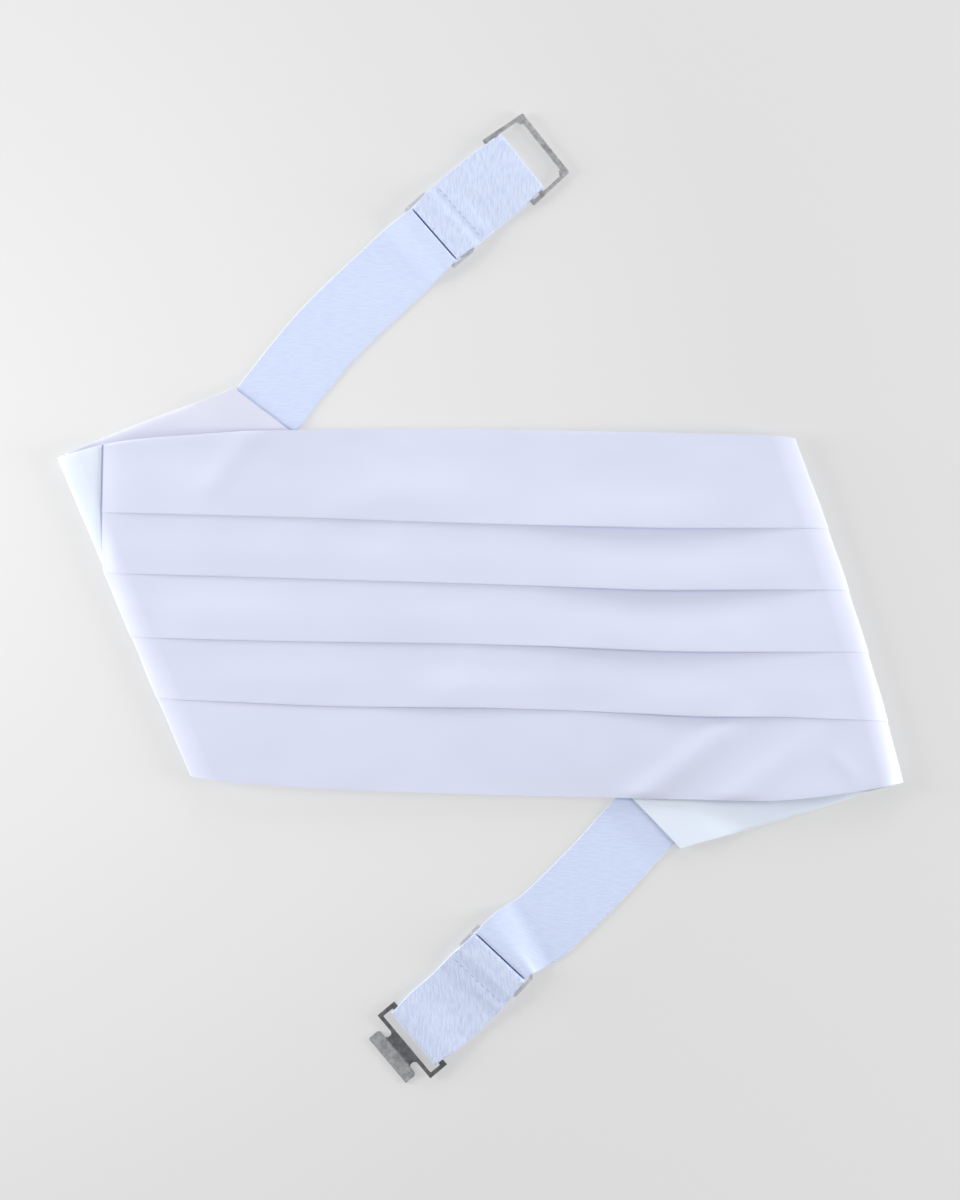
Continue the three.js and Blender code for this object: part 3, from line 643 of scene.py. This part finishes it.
def wrinkle_height(u, v):
    total = 0
    for start, end, width, height in WRINKLES:
        along = Vector(end) - Vector(start)
        share = (Vector((u, v)) - Vector(start)).dot(along) / along.length_squared
        nearest = Vector(start) + along * min(1, max(0, share))
        gap = (Vector((u, v)) - nearest).length / width
        fade = smooth(share / WRINKLE_FADE) * smooth((1 - share) / WRINKLE_FADE)
        total += height * math.exp(-gap * gap * 2) * fade
    return total


def ripple_height(u, v):
    return sum(
        height * noise.noise(Vector((u / along, v / across, layer)))
        for along, across, layer, height in RIPPLES
    )


def lift_height(pleat, u):
    return sum(height * (1 - smooth(abs(u - at) / reach)) for at, reach, height in pleat.lifts)


def sway_of(row, u):
    own = softened(row.pleat.sway, u, SWAY_REACH)
    return own + (softened(row.upper.sway, u, SWAY_REACH) - own) * row.mix


print("the top pleat lifts by", round(lift_height(PLEATS[0], PLEATS[0].lifts[0].at), 2), "mm at most")

# %% [markdown]
# The front turns under at both seams and thins towards its hems. Near the end folds the pleats are pressed
# together and the ripples die out. Each place in the grid is found on the flat cloth first, then raised by
# all of these, and only then carried round the fold. Its columns run along the two folds, one family for
# each, so every column near a fold is parallel to it.

# %% The front
PRESSED = 0.38
PRESS_START = -22
PRESS_REACH = 16
RIPPLE_END = 4
RIPPLE_FADE = 25
SEAM_ROLL = 6
SEAM_PILLOW = 0.5
PILLOW_REACH = 18
HEM = 1.2
HEM_THINNED = 0.35
UNDERLAP = 34
FAMILY_END = -100
ROW_PITCH = 1.3
FRONT_STEPS = 12


def flat_point(column, row):
    """Where a column's line crosses a row on the flat cloth, found by stepping from one to the other."""
    fold, line = column
    v = row.place(fold, line(0))
    for _ in range(FRONT_STEPS):
        out = min(half_front, line(v))
        v = row.place(fold, out)
    return fold.side * min(half_front, line(v)), v, fold


def front_height(row, u, v):
    """How far the front's cloth lies out of its plane, before its seams and hems draw it in."""
    past = max(past_fold(LEFT, u, v), past_fold(RIGHT, u, v))
    free = 1 - smooth((past + RIPPLE_END) / (2 * RIPPLE_END))
    pressed = 1 - (1 - PRESSED) * smooth((past - PRESS_START) / PRESS_REACH)
    n = row.n * pressed + free * (ripple_height(u, v) * smooth(-past / RIPPLE_FADE) + wrinkle_height(u, v))
    n += row.lift * lift_height(row.pleat, u) * free
    seam = half_front - abs(u)
    return n + SEAM_PILLOW * (1 - smooth((seam - SEAM_ROLL) / PILLOW_REACH)) * free


def front_place(column, row):
    u, v, fold = flat_point(column, row)
    v += sway_of(row, u)
    from_seam = min(1, (half_front - abs(u)) / SEAM_ROLL)
    rolled_seam = from_seam * (1.5 - 0.5 * from_seam ** 2)
    to_edge = taper_half(fold, abs(u)) - abs(v)
    hem = math.sqrt(max(0, 1 - max(0, 1 - to_edge / HEM) ** 2))
    drawn_in = rolled_seam * (HEM_THINNED + (1 - HEM_THINNED) * hem)
    return lay(u, v, CLOTH / 2 + (front_height(row, u, v) - CLOTH / 2) * drawn_in)


def front_columns():
    columns = []
    for fold in (LEFT, RIGHT):
        fold_end = fold_arc + fold.bow
        behind = spread(fold_end + UNDERLAP, fold_end, 2.6)
        around = spread(fold_end, -EASE_IN - 1, 0.62)[1:]
        inside = spread(-EASE_IN - 1, FAMILY_END, 1.7)[1:]
        family = [(fold, fold_line(fold, past)) for past in behind + around + inside]
        columns += family if fold is LEFT else list(reversed(family))
    return columns


def front_flat(column, row):
    return flat_point(column, row)[0], rows.index(row) * ROW_PITCH


columns = front_columns()
front = new_piece("satin_front", grid_sheet(columns, rows, front_flat, front_place), satin_face)
thicken(front, CLOTH)
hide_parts("pleated_front")
print("front faces:", len(front.data.polygons))

# %% [markdown]
# A wing is the plain tapered end of the band. It starts under the front's seam, turns round the fold with
# it, drops to the floor once the front is no longer there, and narrows to the strap. Its lining lies on
# its inner side, which faces up where it peeks out, and both are sewn together round the edge. Two sheets
# with a small gap show that seam. One thick solid would look like card.

# %% Wings and linings
SATIN_LAYER = 0.5
LINING_LEVEL = 1.55
WING_LEVEL = 0.35
OVER_STRAP = 1.0 + GAP
WING_START = -60
TIP_ROOM = 10
HALF_SHARES = 24
WING_STEPS = 14
EDGE_SHARE = 0.07
WING_EDGE_DROP = 0.25
LINING_EDGE_DROP = 0.6
PILLOW_HEIGHT = 0.35
PILLOW_EDGE = 0.3


def wing_level(fold, u, v):
    """The wing lies under the front, then comes down once both the front and the fold are behind it."""
    beyond_seam = fold.side * u - half_front
    beyond_fold = past_straight(fold, u, v) - fold_arc
    return -GAP + (STACK + GAP) * smooth(min(beyond_seam, beyond_fold) / LEVEL_RAMP)


def tip_line(fold):
    """The wing's end, square to the way in which it drifts."""
    slope = fold.drift * half_height / ((1 - DRIFT_START) * half_body)
    return lambda v: half_body - slope * (v - drift_at(fold, half_body))


def later(line, out):
    return lambda v: max(line(v), out)


def clamped(line, low, high):
    return lambda v: min(high(v), max(low, line(v)))


def wing_columns(fold, first_past, start):
    lines = [fold_line(fold, past) for past in spread(first_past, fold_arc, 0.7)]
    runs = spread(0, LEVEL_RAMP, 1.4)
    lines += [later(fold_line(fold, fold_arc + run), half_front + run) for run in runs]
    outs = spread(half_front + LEVEL_RAMP, half_body + TIP_ROOM, 2.2)
    lines += [later(fold_line(fold, fold_arc + LEVEL_RAMP), out) for out in outs]
    return [(fold, clamped(line, start, tip_line(fold))) for line in lines]


def wing_point(column, share):
    fold, line = column
    out = line(0)
    for _ in range(WING_STEPS):
        v = drift_at(fold, out) + share * taper_half(fold, out)
        out = line(v)
    return fold.side * out, v, fold


def wing_flat(column, share):
    return wing_point(column, share)[:2]


def rolled(share, reach=EDGE_SHARE):
    """0 over the middle of a wing and 1 at its sewn edge, rounding over like a turned seam."""
    return 1 - math.sqrt(max(0, 1 - max(0, 1 - (1 - abs(share)) / reach) ** 2))


def wing_place(column, share):
    u, v, fold = wing_point(column, share)
    return lay(u, v, wing_level(fold, u, v) - WING_LEVEL - WING_EDGE_DROP * rolled(share))


def lining_place(column, share):
    u, v, fold = wing_point(column, share)
    from_tip = tip_line(fold)(v) - fold.side * u
    lift = OVER_STRAP * smooth((2 * STRAP_TUCK - from_tip) / STRAP_TUCK)
    pillow = PILLOW_HEIGHT * ripple_height(2 * u, 2 * v) * (1 - rolled(share, PILLOW_EDGE))
    edge_drop = LINING_EDGE_DROP * rolled(share) * (1 - lift / OVER_STRAP)
    return lay(u, v, wing_level(fold, u, v) - (LINING_LEVEL + lift - edge_drop + max(0, pillow)))


def make_wing(side_name, fold):
    steps = range(-HALF_SHARES, HALF_SHARES + 1)
    shares = [math.sin(math.pi / 2 * k / HALF_SHARES) for k in steps]
    start = half_front - SEAM_TUCK
    columns = wing_columns(fold, WING_START, start)
    wing = new_piece(
        side_name + "_lit_satin_wing", grid_sheet(columns, shares, wing_flat, wing_place), lit_satin_wing,
    )
    thicken(wing, SATIN_LAYER)
    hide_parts(side_name + "_wing")
    start_lining = half_front + GAP
    columns = wing_columns(fold, fold_arc + fold.bow + GAP, start_lining)
    lining = new_piece(
        side_name + "_wing_lining", grid_sheet(columns, shares, wing_flat, lining_place),
        shaded_left_acetate if fold is LEFT else lit_right_acetate,
    )
    thicken(lining, SATIN_LAYER)
    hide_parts(side_name + "_lining")
    return wing, lining


for side_name, fold in (("left", LEFT), ("right", RIGHT)):
    wing, lining = make_wing(side_name, fold)
    print(wing.name, len(wing.data.polygons), "faces;", lining.name, len(lining.data.polygons), "faces")

# %% [markdown]
# Each strap is one length of elastic. It lies on the floor, climbs over the slider's first bar, dives
# under, runs on to the hook or loop, turns round its bar, comes back on top and is sewn round the
# slider's middle bar. The route is a side view in millimetres, p along the strap and z up. Seen from above
# the strap also bends, so it follows a chain of arcs, each a share of its length and a turn in degrees. An
# extruded curve could do it, but a grid keeps the webbing's width and its UV under control.

# %% The elastic's route
STRAP_WIDTH = 25.6
STRAP_CLOTH = 1.0
STRAP_NECK = 0.93
STRAP_NECK_LENGTH = 12
SEWN_TAIL = 12
BAR = 1.4
PLATE = 1.2
SLIDER_SLOT = 2.9
DRAWN_CLOTH = 0.92
SELVEDGE_BEVEL = 0.28
ON_FLOOR = STRAP_CLOTH / 2
SECOND_LAYER = ON_FLOOR + STRAP_CLOTH + GAP
SLIDER_HEIGHT = SECOND_LAYER + STRAP_CLOTH / 2 + GAP
OVER_SLIDER = SLIDER_HEIGHT + PLATE + GAP + STRAP_CLOTH / 2
HARDWARE_HEIGHT = STRAP_CLOTH + GAP
OVER_HARDWARE = HARDWARE_HEIGHT + PLATE + GAP + STRAP_CLOTH / 2
BESIDE = GAP + STRAP_CLOTH / 2

Strap = namedtuple("Strap", "name fold sewn_off slider_at end_at curve")
LOOP_STRAP = Strap("loop_strap", LEFT, 0.4, 85.5, 125.4, [
    (0.064, 0), (0.191, -4), (0.048, -3.5), (0.159, -3), (0.064, 1.4), (0.112, -2.6), (0.128, 0),
    (0.128, -2.6), (0.106, 0),
])
HOOK_STRAP = Strap("hook_strap", RIGHT, -1.7, 71.6, 113.4, [
    (0.079, 0), (0.053, 2), (0.15, -3.5), (0.159, -2.3), (0.062, -13.5), (0.05, -1.2), (0.053, 18.5),
    (0.171, 0), (0.079, -6.8), (0.144, 0),
])


def strap_route(slider_at, end_at):
    dive = slider_at - BESIDE
    loop = dive + STRAP_CLOTH + GAP
    turn_at = end_at - STRAP_CLOTH / 2
    slider_end = loop + BESIDE + BAR + SLIDER_SLOT + BAR
    tail = loop + SEWN_TAIL
    third_layer = SECOND_LAYER + STRAP_CLOTH + GAP
    return [
        (-STRAP_TUCK + GAP, SECOND_LAYER, 0), (2 * GAP, SECOND_LAYER, 0.4), (10, ON_FLOOR, 2.5),
        (dive - 12, ON_FLOOR, 2.5), (dive - 4.4, OVER_SLIDER, 1.5), (dive, OVER_SLIDER, 0.9),
        (dive, ON_FLOOR, 0.9), (turn_at, ON_FLOOR, 0.9), (turn_at, OVER_HARDWARE, 0.9),
        (turn_at - 6, OVER_HARDWARE, 2.5), (max(turn_at - 14, tail + 6), SECOND_LAYER, 2.5),
        (tail + 4, SECOND_LAYER, 1), (tail + 1, third_layer, 1), (slider_end + 3, third_layer, 0.8),
        (slider_end + 0.6, OVER_SLIDER, 0.8), (loop, OVER_SLIDER, 0.9), (loop, SECOND_LAYER, 0.9),
        (tail, SECOND_LAYER, 0),
    ]


def rounded(route, step=1.2):
    """The route with its corners rounded, as (p, z, length so far)."""
    points = []
    for k, (p, z, radius) in enumerate(route):
        here = Vector((p, z))
        if not radius:
            points.append(here)
            continue
        before = here + (Vector(route[k - 1][:2]) - here).normalized() * radius
        after = here + (Vector(route[k + 1][:2]) - here).normalized() * radius
        for t in (j / 8 for j in range(9)):
            points.append(before.lerp(here, t).lerp(here.lerp(after, t), t))
    path = [(*points[0], 0.0)]
    for a, b in zip(points, points[1:]):
        length = (b - a).length
        if length < 1e-6:
            continue
        run = path[-1][2]
        count = math.ceil(length / step)
        path += [(*a.lerp(b, j / count), run + length * j / count) for j in range(1, count + 1)]
    return path


def curve_state(strap, start, p):
    """The place and heading of the strap's middle line at p, on its chain of arcs."""
    x, y, heading = start
    if p <= 0:
        return x + p * math.cos(heading), y + p * math.sin(heading), heading
    left = p
    for share, turn_degrees in strap.curve:
        full = share * strap.end_at
        run = min(left, full)
        turn = math.radians(turn_degrees) * run / full
        chord = run if abs(turn) < 1e-9 else 2 * run * math.sin(turn / 2) / turn
        x += chord * math.cos(heading + turn / 2)
        y += chord * math.sin(heading + turn / 2)
        heading += turn
        left -= run
        if left <= 0:
            break
    return x, y, heading


def strap_start(strap):
    """Where the strap leaves the tip of its wing, and its heading there."""
    fold = strap.fold
    here = lay(fold.side * half_body, drift_at(fold, half_body), STACK)
    before = lay(fold.side * (half_body - 1), drift_at(fold, half_body - 1), STACK)
    heading = math.atan2(here.y - before.y, here.x - before.x)
    aside = Vector((-math.sin(heading), math.cos(heading))) * strap.sewn_off
    return here.x + aside.x, here.y + aside.y, heading


def strap_place(strap, start, p, q, z):
    """The place of a point of the strap that lies p along it, q aside and z above the floor."""
    at_end = (p - strap.end_at + STRAP_NECK_LENGTH) / STRAP_NECK_LENGTH
    at_slider = 1 - abs(p - strap.slider_at) / STRAP_NECK_LENGTH
    across = q * (1 - (1 - STRAP_NECK) * smooth(max(at_end, at_slider)))
    x, y, heading = curve_state(strap, start, p)
    return Vector((x - across * math.sin(heading), y + across * math.cos(heading), z))


def make_strap(strap):
    start = strap_start(strap)
    path = rounded(strap_route(strap.slider_at, strap.end_at))
    across = spread(-STRAP_WIDTH / 2, STRAP_WIDTH / 2, 1.6)
    piece = new_piece(strap.name + "_webbing", grid_sheet(
        path, across, lambda c, q: (c[2], q), lambda c, q: strap_place(strap, start, c[0], q, c[1]),
    ), elastic_face)
    piece.data.materials.append(elastic_back)
    thicken(piece, DRAWN_CLOTH * STRAP_CLOTH, bevel=SELVEDGE_BEVEL)
    piece.modifiers["cloth thickness"].material_offset = 1
    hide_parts(strap.name)
    return piece


for strap in (LOOP_STRAP, HOOK_STRAP):
    piece = make_strap(strap)
    print(piece.name, len(piece.data.polygons), "faces")

# %% [markdown]
# The metal keeps the CAD model's exact shapes. They could be drawn again here, but a copy can't be wrong. A
# copy of each plate is merged into one skin, its flat faces are joined, and its edges are bevelled, because
# a stamped edge is always a little round.

# %% Metal plates
ONE_FACE = math.radians(2)
PLATE_EDGE = math.radians(30)


def plate_piece(name, node, material, edge):
    bm = bmesh.new()
    bm.from_mesh(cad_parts[node].data)
    bmesh.ops.remove_doubles(bm, verts=bm.verts, dist=WELD)
    bmesh.ops.dissolve_limit(bm, angle_limit=ONE_FACE, verts=bm.verts, edges=bm.edges)
    sharp = [e for e in bm.edges if e.is_manifold and e.calc_face_angle() > PLATE_EDGE]
    bmesh.ops.bevel(bm, geom=sharp, offset=edge * MM, offset_type="OFFSET", segments=3, profile=0.5,
                    affect="EDGES", material=-1, clamp_overlap=True)
    bmesh.ops.triangulate(bm, faces=[f for f in bm.faces if len(f.verts) > 4])
    piece = new_piece(name, bm, material)
    for polygon in piece.data.polygons:
        polygon.use_smooth = False
    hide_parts(node)
    return piece


plates = [
    plate_piece("loop_strap_silver_slider", "loop_strap_slider", glare_white_nickel, 0.3),
    plate_piece("hook_strap_silver_slider", "hook_strap_slider", glare_white_nickel, 0.3),
    plate_piece("loop_frame", "loop_eye", loop_nickel, 0.25),
    plate_piece("hook_with_flat_head", "hook_plate", hook_nickel, 0.25),
]
print("plates:", [(p.name, len(p.data.polygons)) for p in plates])

# %% [markdown]
# One row of stitches shows across each strap, where its end is sewn down. A stitch is a short bead of
# thread 0.36 mm thick that sinks into the cloth at both ends. A bump could draw it, but a bead casts the
# small shadow that makes it read as sewn. Each bead is turned a little, as machine stitches are.

# %% Stitches
STITCH_LENGTH = 1.8
STITCH_PITCH = 2.5
STITCH_TURN = 0.06
THREAD = 0.36
SUNK = 0.1
SELVEDGE = 1.2


def top_of(path, p):
    near = [z for x, z, _ in path if abs(x - p) < 0.8]
    return max(near) + STRAP_CLOTH / 2


def stitch_row(name, strap, p, half_width, height):
    """A row of stitches across a strap at p, `height` mm above the floor."""
    start = strap_start(strap)
    count = int(2 * half_width / STITCH_PITCH)
    bm = bmesh.new()
    for k in range(count):
        q = (k - (count - 1) / 2) * STITCH_PITCH
        place = strap_place(strap, start, p, q, height)
        heading = curve_state(strap, start, p)[2]
        bead = bmesh.ops.create_uvsphere(bm, u_segments=8, v_segments=6, radius=0.5)
        turn = Matrix.Rotation(heading + STITCH_TURN * math.sin(5 * k), 4, "Z")
        stretch = Matrix.Diagonal((THREAD, STITCH_LENGTH, THREAD, 1))
        to_place = to_frame @ Matrix.Translation(place) @ turn @ stretch
        bmesh.ops.transform(bm, matrix=to_place, verts=bead["verts"])
    row = new_piece(name, bm, thread)
    return row


for strap in (LOOP_STRAP, HOOK_STRAP):
    path = rounded(strap_route(strap.slider_at, strap.end_at))
    tail = strap.slider_at - BESIDE + STRAP_CLOTH + GAP + SEWN_TAIL - 1.0
    height = top_of(path, tail) - SUNK
    row = stitch_row(strap.name + "_tail_stitches", strap, tail, STRAP_WIDTH / 2 - SELVEDGE, height)
    print(row.name, len(row.data.polygons), "faces")

# %% [markdown]
# The cummerbund lies on a pale ground without clear shadows, a little lighter at the left. Plain paper
# would show every shadow, so this paper is darker and glows a little by itself, most near one place at the
# left.

# %% Floor
GLOW_MIDDLE = (-0.2, 0.03, 0)
FLOOR_SIZE = 4

floor_material = new_material("pale matt paper")
where = add_node(floor_material, "TexCoord").outputs["Object"]
from_glow = add_node(floor_material, "VectorMath", {"operation": "DISTANCE"}, _0=where, _1=GLOW_MIDDLE)
glow = add_node(
    floor_material, "ValToRGB", stops=[(0.0, "#C8C8C8"), (0.3, "#B0B0B0")], Fac=from_glow.outputs["Value"],
)
finish_material(floor_material, add_node(
    floor_material, "BsdfPrincipled", Base_Color=linear("#959595"), Roughness=0.9,
    Emission_Color=glow.outputs["Color"], Emission_Strength=1.0,
))
bm = bmesh.new()
bmesh.ops.create_grid(bm, x_segments=1, y_segments=1, size=FLOOR_SIZE)
floor_mesh = bpy.data.meshes.new("floor")
bm.to_mesh(floor_mesh)
bm.free()
floor_mesh.materials.append(floor_material)
floor = bpy.data.objects.new("floor", floor_mesh)
bpy.context.collection.objects.link(floor)
print("floor ready")
